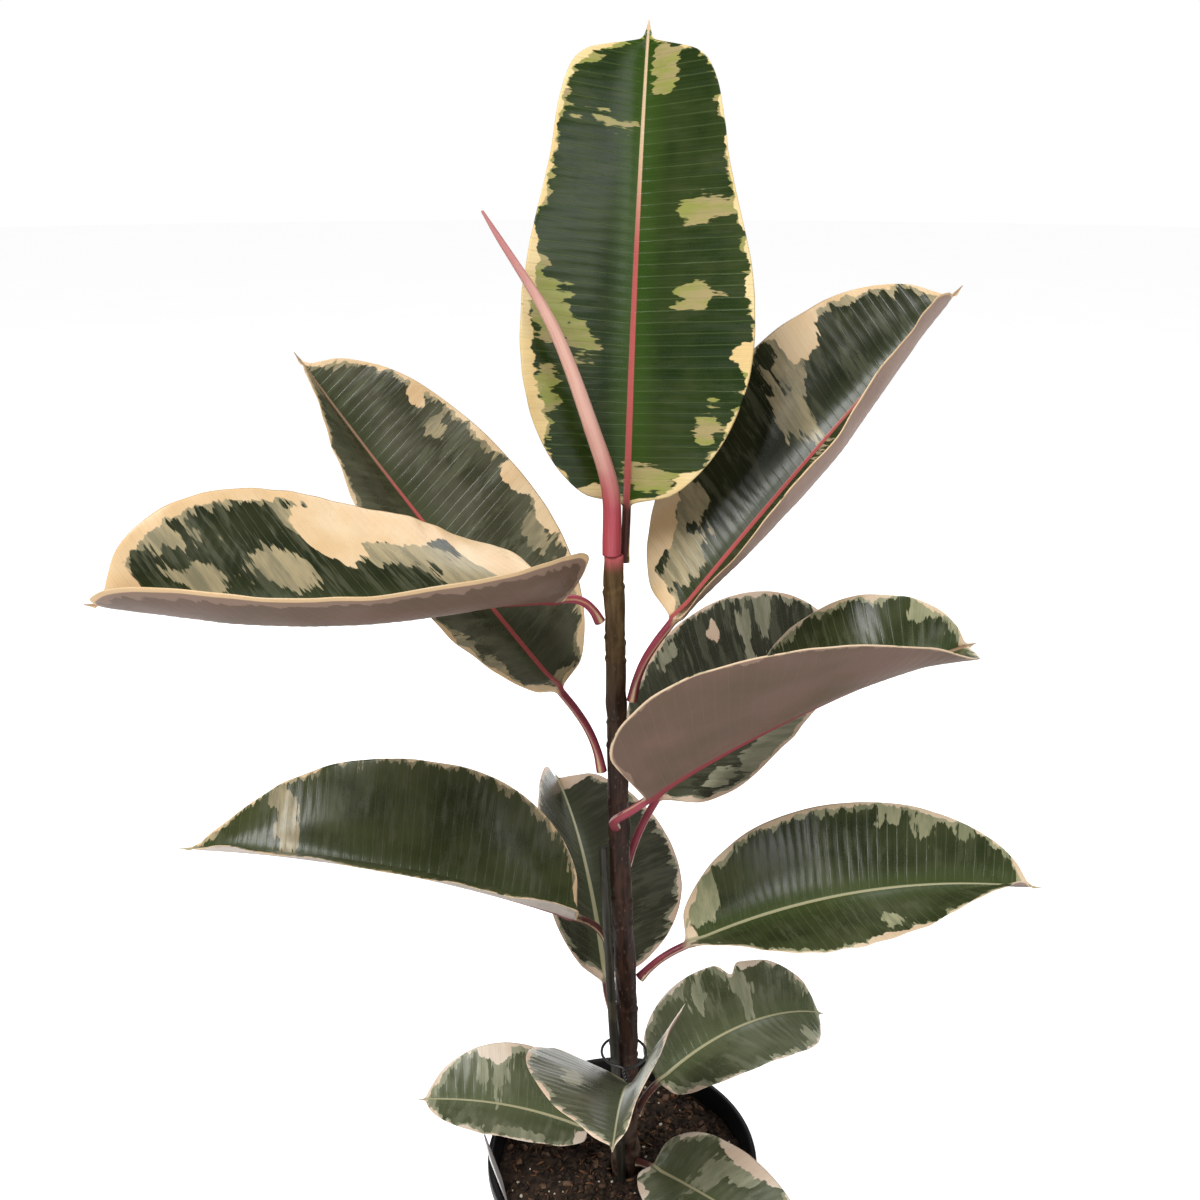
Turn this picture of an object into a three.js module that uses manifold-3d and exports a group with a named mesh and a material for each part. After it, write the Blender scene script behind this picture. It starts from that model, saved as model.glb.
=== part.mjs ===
// A young variegated rubber plant in a round nursery pot.
//
// Units are millimetres. +Z is up, the origin is the centre of the pot's flat underside, and the plant's
// front faces -Y. Compass angles are in degrees, counter-clockwise from +X seen from above, so 90 points
// to the back and -90 to the front. Every leaf is one closed body: petiole, midrib and blade together.

import * as THREE from 'three';
import { mergeVertices } from 'three/addons/utils/BufferGeometryUtils.js';
import Module from 'manifold-3d';

const wasm = await Module();
wasm.setup();

// ---------------------------------------------------------------- driving dimensions

const GAP = 0.3;                 // clearance between neighbouring pieces

const POT = {
  topRadius: 85,                 // outside of the rim
  baseRadius: 61,
  height: 150,
  wall: 1.8,
  floor: 2.5,
  rimDrop: 9,                    // height of the thickened band under the lip
  rimStep: 2.4,                  // how far the band stands out from the wall
  holes: 8,                      // drainage holes
  holeRadius: 4.5,
  holeCircle: 40,
  holeSides: 12,
  heel: 1.5,                     // chamfer round the foot
  lip: 1.2,                      // depth of the rounded lip
  cove: 3,                       // how far the inside corner at the floor is eased
  sides: 48,
};

const SOIL = {
  top: 136,                      // level of the potting mix at the wall
  mound: 3,                      // rise of the surface toward the stem
  lump: 1.6,                     // height of the crumbs in the surface
  coarse: [0.21, 0.17],          // waves of the crumbs across X and Y, in radians a millimetre
  fine: [0.43, 0.37],
  fineShare: 0.6,
  edge: 1.6,                     // chamfer round the bottom
  rings: 7,
  sides: 32,
};

const STEM = {
  foot: 96,                      // lower end, seated in the potting mix
  top: 548,
  baseRadius: 6.9,
  topRadius: 5.2,
  flare: 2.6,                    // extra radius where the stem meets the soil
  flareRise: 6,                  // the flare is widest this far above the soil
  flareSpread: 16,
  scar: 0.5,                     // height of the leaf-scar rings
  scarDrop: 4,                   // a scar ring lies this far under its petiole
  scarSpread: 2.5,
  sides: 12,
  rings: 64,
};

// The stem's centre line leans a little to the left and bows to the right low down.
const STEM_LINE = new THREE.CatmullRomCurve3([
  new THREE.Vector3(2, 0, STEM.foot),
  new THREE.Vector3(2.5, 0, 240),
  new THREE.Vector3(-3, 0, 380),
  new THREE.Vector3(-7, 0, STEM.top),
]);

const BUD = {                    // the rolled new leaf in its sheath
  radius: 4.9,
  tipRadius: 0.6,
  fullness: 0.75,                // under 1 keeps the spear thick until near its tip
  sides: 12,
  rings: 26,
  line: [[-8, -1, 549], [-9, -5, 584], [-18, -10, 616], [-37, -16, 668], [-67, -25, 719]],
};

const CANE = {
  radius: 2.8,
  topRadius: 2.4,
  sides: 12,
  rings: 8,
  foot: new THREE.Vector3(1.6, -13.2, 104),
  top: new THREE.Vector3(-12.5, -4.5, 375),
};

const TIE = {
  wire: 1,                       // radius of the wire
  ring: 13.5,
  wireSides: 8,
  ringSides: 32,
  height: 231,
  x: 0.5,
  y: -3.5,
};

const LABEL = {
  width: 22,
  length: 88,
  point: 20,                     // length of the pointed end
  pointHalf: 2,                  // half the width left at the point
  thickness: 0.8,
  corner: 3,
  top: new THREE.Vector3(-83, -22, 176),
  lean: 14,                      // degrees outward
  turn: 75,                      // compass turn of the face
};

const BLADE = {
  around: 16,                    // facets round one section of a full-grown leaf
  aroundSmall: 12,               // and of a small one
  small: 150,                    // length under which a leaf counts as small
  petioleRings: 4,
  bladeRings: 17,
  crowding: 0.6,                 // how far the rings are drawn together toward the base and the tip
  petioleRadius: 2.3,
  petioleFoot: 1.3,              // the petiole is this many times thicker at the stem
  petioleFootShare: 1 / 3,       // over this share of its length
  spread: 1 / 14,                // share of the blade over which the petiole's section turns into the blade's
  halfThickness: 0.55,
  rib: 1.5,                      // depth of the midrib under the blade at its base
  flatHalf: 2,                   // where the half width is under this the section stays flat
  foldHalf: 12,                  // and over this much more it reaches its full fold
  tail: 0.045,                   // share of the blade's length taken by its drip tip
  tailHalf: 1.1,                 // half width of the drip tip where it starts
  tailTaper: 0.7,                // share of that half width lost by its end
};

// One entry a leaf, from the growing tip down. `height` is where the petiole meets the stem and `side`
// the compass direction it leaves in, rising at `rise`. The blade then runs along `heading`, climbing at
// `pitch`; each is given at its base and its tip. `roll` tips the blade about its midrib, left half up
// when positive. `left` and `right` fold each half up from the midrib, given at base, middle and tip, and
// `curl` bends each half further toward its edge. `widest` is the share of the length at the broadest
// place, and `ends` how blunt (0.4) or pointed (0.7) the base and the tip are.
const LEAVES = [
  { name: 'leaf_top', height: 542, side: 50, rise: 85, petiole: 30, length: 232, width: 122,
    heading: [74, 68], pitch: [85, 81], roll: [8, 6], left: [28, 38, 25], right: [10, 8, 25],
    curl: [4, 6], widest: 0.41, ends: [0.56, 0.34] },
  { name: 'leaf_left_trough', height: 512, side: 200, rise: 64, petiole: 30, length: 234, width: 122,
    heading: [220, 172], pitch: [10, 0], roll: [-20, -26], left: [52, 12, 50], right: [8, 28, 60],
    curl: [70, -20], widest: 0.62, ends: [0.22, 0.42] },
  { name: 'leaf_upper_right', height: 466, side: -15, rise: 80, petiole: 50, length: 232, width: 124,
    heading: [18, 20], pitch: [49, 44], roll: [10, 14], left: [12, 34, 25], right: [26, 11, 50],
    curl: [10, 58], widest: 0.48, ends: [0.5, 0.42] },
  { name: 'leaf_upper_left', height: 421, side: 172, rise: 80, petiole: 52, length: 238, width: 120,
    heading: [150, 163], pitch: [42, 53], roll: [-8, -8], left: [20, 16, 40], right: [12, 36, 38],
    curl: [5, 15], widest: 0.45, ends: [0.54, 0.48] },
  { name: 'leaf_right', height: 391, side: -104, rise: 42, petiole: 45, length: 208, width: 128,
    heading: [-7, 34], pitch: [41, 0], roll: [20, 28], left: [-40, -22, 70], right: [80, 66, 24],
    curl: [4, 30], widest: 0.4, ends: [0.3, 0.62] },
  { name: 'leaf_right_back', height: 356, side: 65, rise: 40, petiole: 45, length: 224, width: 124,
    heading: [55, 40], pitch: [28, -8], roll: [16, 16], left: [32, 35, 42], right: [18, 26, 30],
    curl: [20, 12], widest: 0.4, ends: [0.44, 0.62] },
  { name: 'leaf_lower_left', height: 298, side: 150, rise: 70, petiole: 30, length: 238, width: 130,
    heading: [180, 178], pitch: [22, 0], roll: [0, 0], left: [44, 40, 38], right: [25, 58, 10],
    curl: [-14, 4], widest: 0.4, ends: [0.5, 0.66] },
  { name: 'leaf_lower_right', height: 281, side: 14, rise: 46, petiole: 34, length: 217, width: 108,
    heading: [8, -4], pitch: [24, -5], roll: [2, 2], left: [15, 35, 34], right: [36, -2, 55],
    curl: [16, 18], widest: 0.44, ends: [0.52, 0.54] },
  { name: 'leaf_back', height: 242, side: 128, rise: 50, petiole: 27, length: 184, width: 118,
    heading: [98, 106], pitch: [32, 2], roll: [10, 14], left: [35, 36, 50], right: [36, 22, 50],
    curl: [15, 0], widest: 0.4, ends: [0.52, 0.66] },
  { name: 'leaf_foot_front', height: 198, side: -80, rise: 68, petiole: 32, length: 130, width: 112,
    heading: [-98, -95], pitch: [48, 10], roll: [15, 14], left: [40, 40, 46], right: [38, 30, 30],
    curl: [6, 0], widest: 0.42, ends: [0.5, 0.72] },
  { name: 'leaf_foot_right', height: 175, side: 45, rise: 46, petiole: 22, length: 138, width: 82,
    heading: [28, 28], pitch: [33, -30], roll: [14, 20], left: [28, 16, 34], right: [22, 22, -8],
    curl: [10, 3], widest: 0.42, ends: [0.5, 0.55] },
  { name: 'leaf_foot_left', height: 158, side: 174, rise: 22, petiole: 16, length: 110, width: 73,
    heading: [175, 184], pitch: [25, 0], roll: [-7, -7], left: [22, 20, 10], right: [21, 27, 18],
    curl: [6, 12], widest: 0.5, ends: [0.5, 0.62] },
  { name: 'leaf_foot_low', height: 148, side: -45, rise: 28, petiole: 12, length: 120, width: 76,
    heading: [-42, -48], pitch: [12, 2], roll: [0, -8], left: [45, 2, -4], right: [30, 8, 22],
    curl: [0, -5], widest: 0.43, ends: [0.5, 0.6] },
];

// ---------------------------------------------------------------- small helpers

const rad = THREE.MathUtils.degToRad;
const mix = THREE.MathUtils.lerp;
const ease = (x) => THREE.MathUtils.smoothstep(x, 0, 1);
const bell = (x, spread) => Math.exp(-((x / spread) ** 2));

// The curve through three values at the base, the middle and the tip.
function through([base, middle, tip], t) {
  return base * (1 - t) * (1 - 2 * t) + 4 * middle * t * (1 - t) + tip * t * (2 * t - 1);
}

function direction(compass, climb) {
  return new THREE.Vector3(
    Math.cos(climb) * Math.cos(compass),
    Math.cos(climb) * Math.sin(compass),
    Math.sin(climb),
  );
}

function material(color, roughness, metalness = 0) {
  return new THREE.MeshStandardMaterial({ color, roughness, metalness });
}

// Keeps positions only and merges the seams, so that each shell is one closed body.
function closed(geometry) {
  geometry.deleteAttribute('normal');
  geometry.deleteAttribute('uv');
  return mergeVertices(geometry, 1e-4);
}

function solid(geometry) {
  const merged = closed(geometry.clone());
  return new wasm.Manifold(new wasm.Mesh({
    numProp: 3,
    vertProperties: new Float32Array(merged.attributes.position.array),
    triVerts: new Uint32Array(merged.index.array),
  }));
}

function geometryOf(manifold) {
  const mesh = manifold.getMesh();
  const geometry = new THREE.BufferGeometry();
  geometry.setAttribute('position', new THREE.BufferAttribute(mesh.vertProperties, 3));
  geometry.setIndex(new THREE.BufferAttribute(mesh.triVerts, 1));
  return geometry;
}

// A closed cylinder whose rings are moved by place(share along, angle round, share of the radius).
function deformedTube(sides, rings, place) {
  const geometry = new THREE.CylinderGeometry(1, 1, 1, sides, rings);
  const position = geometry.attributes.position;
  const point = new THREE.Vector3();
  for (let i = 0; i < position.count; i++) {
    point.fromBufferAttribute(position, i);
    const radius = Math.hypot(point.x, point.z);
    const angle = Math.atan2(point.z, point.x);
    const along = THREE.MathUtils.clamp(0.5 - point.y, 0, 1);
    const moved = place(along, angle, Math.min(1, radius));
    position.setXYZ(i, moved.x, moved.y, moved.z);
  }
  return closed(geometry);
}

// A round, tapering rod along a curve.
function rod(curve, sides, rings, radiusAt) {
  return deformedTube(sides, rings, (along, angle, share) => {
    const centre = curve.getPointAt(along);
    const tangent = curve.getTangentAt(along);
    const side = new THREE.Vector3(0, 1, 0).cross(tangent).normalize();
    const front = tangent.clone().cross(side);
    const radius = radiusAt(along, centre) * share;
    return centre
      .addScaledVector(side, radius * Math.cos(angle))
      .addScaledVector(front, radius * Math.sin(angle));
  });
}

// ---------------------------------------------------------------- pot and potting mix

function potOuterRadius(z) {
  return mix(POT.baseRadius, POT.topRadius - POT.rimStep, z / POT.height);
}

function potGeometry() {
  const band = POT.height - POT.rimDrop;
  const inner = (z) => potOuterRadius(z) - POT.wall;
  const profile = [
    [0, 0],
    [POT.baseRadius - POT.heel, 0],
    [POT.baseRadius, POT.heel],
    [potOuterRadius(band), band],
    [POT.topRadius - POT.lip / 3, band + POT.lip],
    [POT.topRadius, POT.height - POT.lip],
    [POT.topRadius - POT.lip, POT.height],
    [inner(POT.height) + POT.lip, POT.height],
    [inner(band), band - POT.lip],
    [inner(POT.floor) - POT.cove / 3, POT.floor + POT.cove / 3],
    [inner(POT.floor) - POT.cove, POT.floor],
    [0, POT.floor],
  ].map(([radius, z]) => new THREE.Vector2(radius, z));
  const shell = solid(new THREE.LatheGeometry(profile, POT.sides).rotateX(Math.PI / 2));
  const holes = [];
  for (let i = 0; i < POT.holes; i++) {
    const angle = (i + 0.5) * 2 * Math.PI / POT.holes;
    const drill = new THREE.CylinderGeometry(POT.holeRadius, POT.holeRadius, 4 * POT.floor, POT.holeSides);
    drill.rotateX(Math.PI / 2);
    drill.translate(POT.holeCircle * Math.cos(angle), POT.holeCircle * Math.sin(angle), 0);
    holes.push(solid(drill));
  }
  return geometryOf(holes.reduce((pot, hole) => pot.subtract(hole), shell));
}

function soilSurface(x, y) {
  const out = Math.hypot(x, y) / POT.topRadius;
  const coarse = Math.sin(x * SOIL.coarse[0]) * Math.cos(y * SOIL.coarse[1]);
  const crumbs = coarse + SOIL.fineShare * Math.sin(x * SOIL.fine[0] - y * SOIL.fine[1]);
  return SOIL.top + SOIL.mound * (1 - out * out) + SOIL.lump * crumbs * (1 - out ** 4);
}

function soilGeometry(seats) {
  const wallRadius = (z) => potOuterRadius(z) - POT.wall - 2 * GAP;
  const floor = POT.floor + GAP;
  const profile = [
    [0, floor],
    [wallRadius(floor) - POT.cove - SOIL.edge / 4, floor],
    [wallRadius(floor) - SOIL.edge / 2, floor + SOIL.edge],
  ];
  for (let i = SOIL.rings; i >= 0; i--) {
    profile.push([wallRadius(SOIL.top) * i / SOIL.rings, SOIL.top]);
  }
  const points = profile.map(([radius, z]) => new THREE.Vector2(radius, z));
  const geometry = closed(new THREE.LatheGeometry(points, SOIL.sides).rotateX(Math.PI / 2));
  const position = geometry.attributes.position;
  for (let i = 0; i < position.count; i++) {
    if (position.getZ(i) > SOIL.top - 1) {
      position.setZ(i, soilSurface(position.getX(i), position.getY(i)));
    }
  }
  return geometryOf(seats.reduce((mixture, seat) => mixture.subtract(solid(seat)), solid(geometry)));
}

// ---------------------------------------------------------------- stem, bud, cane, tie and label

function stemRadius(z) {
  const taper = mix(STEM.baseRadius, STEM.topRadius, (z - STEM.foot) / (STEM.top - STEM.foot));
  const flare = STEM.flare * bell(z - SOIL.top - STEM.flareRise, STEM.flareSpread);
  const scars = LEAVES.reduce((sum, leaf) => sum + bell(z - leaf.height + STEM.scarDrop, STEM.scarSpread), 0);
  return taper + flare + STEM.scar * Math.min(1, scars);
}

function stemGeometry(clearance = 0) {
  return rod(STEM_LINE, STEM.sides, STEM.rings, (along, centre) => stemRadius(centre.z) + clearance);
}

function stemCentre(z) {
  let low = 0;
  let high = 1;
  for (let i = 0; i < 24; i++) {
    const middle = (low + high) / 2;
    if (STEM_LINE.getPointAt(middle).z < z) low = middle;
    else high = middle;
  }
  return STEM_LINE.getPointAt(low);
}

function budGeometry() {
  const line = new THREE.CatmullRomCurve3(BUD.line.map(([x, y, z]) => new THREE.Vector3(x, y, z)));
  const radiusAt = (along) => mix(BUD.tipRadius, BUD.radius, (1 - along) ** BUD.fullness);
  return rod(line, BUD.sides, BUD.rings, radiusAt);
}

function caneGeometry(clearance = 0) {
  const line = new THREE.LineCurve3(CANE.foot, CANE.top);
  const radiusAt = (along) => mix(CANE.radius, CANE.topRadius, along) + clearance;
  return rod(line, CANE.sides, CANE.rings, radiusAt);
}

function tieGeometry() {
  const ring = closed(new THREE.TorusGeometry(TIE.ring, TIE.wire, TIE.wireSides, TIE.ringSides));
  return ring.translate(TIE.x, TIE.y, TIE.height);
}

// A flat plant tag: rounded at the top, pointed at the bottom, blank on both faces.
function labelGeometry(clearance = 0) {
  const half = LABEL.width / 2 + clearance;
  const shape = new THREE.Shape();
  shape.moveTo(-half, -LABEL.corner);
  shape.absarc(-half + LABEL.corner, -LABEL.corner, LABEL.corner, Math.PI, Math.PI / 2, true);
  shape.absarc(half - LABEL.corner, -LABEL.corner, LABEL.corner, Math.PI / 2, 0, true);
  shape.lineTo(half, LABEL.point - LABEL.length);
  shape.lineTo(LABEL.pointHalf + clearance, -LABEL.length - clearance);
  shape.lineTo(-LABEL.pointHalf - clearance, -LABEL.length - clearance);
  shape.lineTo(-half, LABEL.point - LABEL.length);
  shape.closePath();
  const depth = LABEL.thickness + 2 * clearance;
  const tag = new THREE.ExtrudeGeometry(shape, { depth, bevelEnabled: false, curveSegments: 4 });
  tag.translate(0, 0, -depth / 2).rotateX(Math.PI / 2);
  tag.rotateX(rad(LABEL.lean)).rotateZ(rad(-LABEL.turn));
  return closed(tag.translate(LABEL.top.x, LABEL.top.y, LABEL.top.z));
}

// ---------------------------------------------------------------- leaves

const WALK_STEP = 2;             // a leaf's midrib is walked in strides of this length
const NO_BEND = 1e-6;            // stands for a flat half, whose bend is zero
const ON_MIDRIB = 1e-3;          // share of the half width within which a point is on the midrib

// Share of the greatest half width at t along the blade, drip tip left out.
function outline(leaf, t) {
  const body = Math.min(1, t / (1 - BLADE.tail));
  const before = body < leaf.widest;
  const away = before ? (leaf.widest - body) / leaf.widest : (body - leaf.widest) / (1 - leaf.widest);
  return Math.max(0, 1 - away * away) ** (before ? leaf.ends[0] : leaf.ends[1]);
}

// Where each ring of a leaf lies: centre, axes and its place along the petiole or the blade.
function leafRings(leaf) {
  const distances = [];
  for (let i = 0; i < BLADE.petioleRings; i++) {
    distances.push(leaf.petiole * i / BLADE.petioleRings);
  }
  for (let i = 0; i <= BLADE.bladeRings; i++) {
    const even = i / BLADE.bladeRings;
    const crowded = (1 - Math.cos(Math.PI * even)) / 2;
    distances.push(leaf.petiole + leaf.length * mix(even, crowded, BLADE.crowding));
  }
  const rise = rad(leaf.rise);
  const side = rad(leaf.side);
  const footRadius = BLADE.petioleFoot * BLADE.petioleRadius;
  const reach = stemRadius(leaf.height) + GAP + footRadius * Math.sin(rise);
  const centre = stemCentre(leaf.height).addScaledVector(direction(side, 0), reach);
  const heading = (a, t) => (a < leaf.petiole
    ? mix(leaf.side, nearest(leaf.heading[0], leaf.side), ease(a / leaf.petiole))
    : mix(...leaf.heading, t));
  const pitch = (a, t) => (a < leaf.petiole
    ? mix(leaf.rise, leaf.pitch[0], ease(a / leaf.petiole))
    : mix(...leaf.pitch, t));
  let travelled = 0;
  return distances.map((distance) => {
    while (travelled < distance) {
      const stride = Math.min(WALK_STEP, distance - travelled);
      const a = travelled + stride / 2;
      const t = Math.max(0, a - leaf.petiole) / leaf.length;
      centre.addScaledVector(direction(rad(heading(a, t)), rad(pitch(a, t))), stride);
      travelled += stride;
    }
    const t = Math.max(0, distance - leaf.petiole) / leaf.length;
    const compass = rad(heading(distance, t));
    const forward = direction(compass, rad(pitch(distance, t)));
    const level = new THREE.Vector3(-Math.sin(compass), Math.cos(compass), 0);
    const upright = forward.clone().cross(level);
    const roll = rad(mix(...leaf.roll, t));
    return {
      t,
      petiole: Math.min(1, distance / leaf.petiole),
      centre: centre.clone(),
      left: level.clone().multiplyScalar(Math.cos(roll)).addScaledVector(upright, Math.sin(roll)),
      up: upright.clone().multiplyScalar(Math.cos(roll)).addScaledVector(level, -Math.sin(roll)),
    };
  });
}

// The compass angle equal to `angle` that is nearest to `reference`.
function nearest(angle, reference) {
  return angle + 360 * Math.round((reference - angle) / 360);
}

function leafGeometry(leaf) {
  const rings = leafRings(leaf);
  const last = rings.length - 1;
  const around = leaf.length < BLADE.small ? BLADE.aroundSmall : BLADE.around;
  const tube = deformedTube(around, last, (along, angle, share) => {
    const ring = rings[Math.round(along * last)];
    const across = Math.cos(angle) * share;
    const face = Math.sin(angle) * share;
    const onBlade = ring.petiole < 1 ? 0 : 1;
    const foot = mix(BLADE.petioleFoot, 1, ease(ring.petiole / BLADE.petioleFootShare));
    const stalk = BLADE.petioleRadius * foot * (1 - ring.t);
    const tail = onBlade * BLADE.tailHalf * (1 - BLADE.tailTaper * ring.t);
    const half = Math.max(stalk, tail) + onBlade * outline(leaf, ring.t) * leaf.width / 2;
    const reach = Math.abs(across) * half;
    const isLeft = across >= 0;
    const open = ease((half - BLADE.flatHalf) / BLADE.foldHalf);
    const fold = rad(through(isLeft ? leaf.left : leaf.right, ring.t)) * open;
    const bend = rad(isLeft ? leaf.curl[0] : leaf.curl[1]) / (leaf.width / 2) * open || NO_BEND;
    const lean = fold + bend * reach;
    const out = (Math.sin(lean) - Math.sin(fold)) / bend;
    const up = (Math.cos(fold) - Math.cos(lean)) / bend;
    const taper = Math.min(1, half / BLADE.flatHalf);
    const blade = BLADE.halfThickness * taper * Math.sign(face) * Math.sqrt(Math.abs(face));
    const onMidrib = Math.abs(across) < ON_MIDRIB;
    const rib = onMidrib && face < 0 ? BLADE.rib * (1 - ring.t) : 0;
    const thick = mix(stalk * face, blade - rib, ease(ring.t / BLADE.spread));
    const flip = isLeft ? 1 : -1;
    const tilt = onMidrib ? 0 : lean;
    return ring.centre.clone()
      .addScaledVector(ring.left, flip * (out - thick * Math.sin(tilt)))
      .addScaledVector(ring.up, up + thick * Math.cos(tilt));
  });
  return matchDiagonals(tube, around, last);
}

// A blade is thinner than its facets are warped. So each facet of the underside is split along the same
// diagonal as the one above it, and the two faces stay a blade's thickness apart everywhere.
function matchDiagonals(geometry, around, rings) {
  const index = geometry.index.array;
  for (let facet = rings * around / 4; facet < rings * 3 * around / 4; facet++) {
    const [a, b, d, , c] = index.slice(6 * facet, 6 * facet + 6);
    index.set([a, b, c, a, c, d], 6 * facet);
  }
  return geometry;
}

// ---------------------------------------------------------------- assembly

const MATERIALS = {
  pot: material(0x1c1d1e, 0.55),
  soil: material(0x3a2a20, 0.95),
  stem: material(0x3a2c22, 0.6),
  bud: material(0xc98a83, 0.4),
  cane: material(0x2c332c, 0.6),
  tie: material(0x151515, 0.5, 0.2),
  label: material(0xd8d6d2, 0.5),
  leaf: material(0x3f5638, 0.35),
};

const plant = new THREE.Group();

function add(name, geometry, look) {
  const mesh = new THREE.Mesh(geometry, look);
  mesh.name = name;
  plant.add(mesh);
}

add('pot', potGeometry(), MATERIALS.pot);
add('soil', soilGeometry([stemGeometry(GAP), caneGeometry(GAP), labelGeometry(GAP)]), MATERIALS.soil);
add('stem', stemGeometry(), MATERIALS.stem);
add('bud_sheath', budGeometry(), MATERIALS.bud);
add('support_cane', caneGeometry(), MATERIALS.cane);
add('wire_tie', tieGeometry(), MATERIALS.tie);
add('plant_label', labelGeometry(), MATERIALS.label);
for (const leaf of LEAVES) {
  add(leaf.name, leafGeometry(leaf), MATERIALS.leaf.clone());
}

export default plant;
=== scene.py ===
# %% [markdown]
# # A potted rubber plant
# A young variegated rubber plant stands in a black nursery pot. Thirteen thick leaves spiral up one brown
# stem, which is tied to a thin cane. The frame gives every part its true size and place. Here each part
# gets its fine shape and its finish.

# %% Load the frame
import math
import random

import bmesh
import bpy
import numpy as np
from mathutils import Matrix, Vector, noise


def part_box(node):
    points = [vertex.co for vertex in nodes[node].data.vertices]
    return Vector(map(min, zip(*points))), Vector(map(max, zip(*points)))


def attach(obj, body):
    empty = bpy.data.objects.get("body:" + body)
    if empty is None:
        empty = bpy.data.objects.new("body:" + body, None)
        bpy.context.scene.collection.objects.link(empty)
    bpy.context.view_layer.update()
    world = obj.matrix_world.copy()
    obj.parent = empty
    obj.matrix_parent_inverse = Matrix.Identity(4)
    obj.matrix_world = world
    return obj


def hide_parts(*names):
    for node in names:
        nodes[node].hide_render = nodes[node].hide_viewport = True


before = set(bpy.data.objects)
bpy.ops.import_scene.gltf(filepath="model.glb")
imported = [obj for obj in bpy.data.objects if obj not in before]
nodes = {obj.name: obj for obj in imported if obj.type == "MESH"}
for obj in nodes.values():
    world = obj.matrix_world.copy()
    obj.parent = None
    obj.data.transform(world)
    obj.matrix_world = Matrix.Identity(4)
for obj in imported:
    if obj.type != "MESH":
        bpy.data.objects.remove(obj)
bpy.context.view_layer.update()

MM = 0.001
scene = bpy.context.scene

# %% [markdown]
# ## Camera and light
# The view is from close by and above, looking down, so that the top leaf looks large. Three broad soft
# lights, the strongest above and in front, and white surroundings keep the shadows pale, as in a studio tent.

# %% Camera
EYE = (-0.014, -0.591, 0.744)
LOOK_DOWN = 20.5
camera = bpy.data.objects.new("camera", bpy.data.cameras.new("camera"))
scene.collection.objects.link(camera)
camera.location = EYE
camera.rotation_euler = (math.radians(90 - LOOK_DOWN), 0, 0)
camera.data.sensor_width = 36
camera.data.lens = 36
scene.camera = camera
print("camera at", EYE, "looking", LOOK_DOWN, "degrees down")

# %% Lights
MIDDLE = (0, 0, 0.4)


def soft_light(name, place, size, power):
    """A square area light at place, turned to the middle of the plant."""
    lamp = bpy.data.objects.new(name, bpy.data.lights.new(name, "AREA"))
    lamp.data.size = size
    lamp.data.energy = power
    lamp.location = place
    lamp.rotation_euler = (Vector(MIDDLE) - Vector(place)).to_track_quat("-Z", "Y").to_euler()
    scene.collection.objects.link(lamp)


soft_light("key_light", (-0.7, -1.0, 2.0), 0.8, 40)
soft_light("fill_light", (1.5, -1.1, 1.2), 0.9, 10)
soft_light("back_light", (0.5, 1.4, 1.9), 1.0, 16)

# %% [markdown]
# The surroundings are one even white. They look fully bright to the camera, light the plant at less than
# half of that, and show only dimly in whatever shines, so that the leaves keep their depth of colour.

# %% Surroundings
SEEN_BRIGHT, LIGHTING, IN_THE_SHINE = 1.0, 0.42, 0.14
world = bpy.data.worlds.new("studio")
scene.world = world
world.use_nodes = True
air = world.node_tree
rays = air.nodes.new("ShaderNodeLightPath").outputs
reflected = air.nodes.new("ShaderNodeMapRange")
reflected.inputs["To Min"].default_value = LIGHTING
reflected.inputs["To Max"].default_value = IN_THE_SHINE
air.links.new(rays["Is Glossy Ray"], reflected.inputs["Value"])
seen = air.nodes.new("ShaderNodeMapRange")
seen.inputs["To Max"].default_value = SEEN_BRIGHT
air.links.new(rays["Is Camera Ray"], seen.inputs["Value"])
air.links.new(reflected.outputs[0], seen.inputs["To Min"])
air.links.new(seen.outputs[0], air.nodes["Background"].inputs["Strength"])
air.nodes["Background"].inputs["Color"].default_value = (1, 1, 1, 1)
scene.view_settings.view_transform = "Standard"
print("surroundings made")

# %% [markdown]
# ## Shader sums
# A finish is a network of nodes. Written node by node it is long and hard to read, so one small class
# wraps a socket and lets Python's own signs add the Math nodes. `node` adds any other kind.

# %% A socket that can be used in sums


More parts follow.
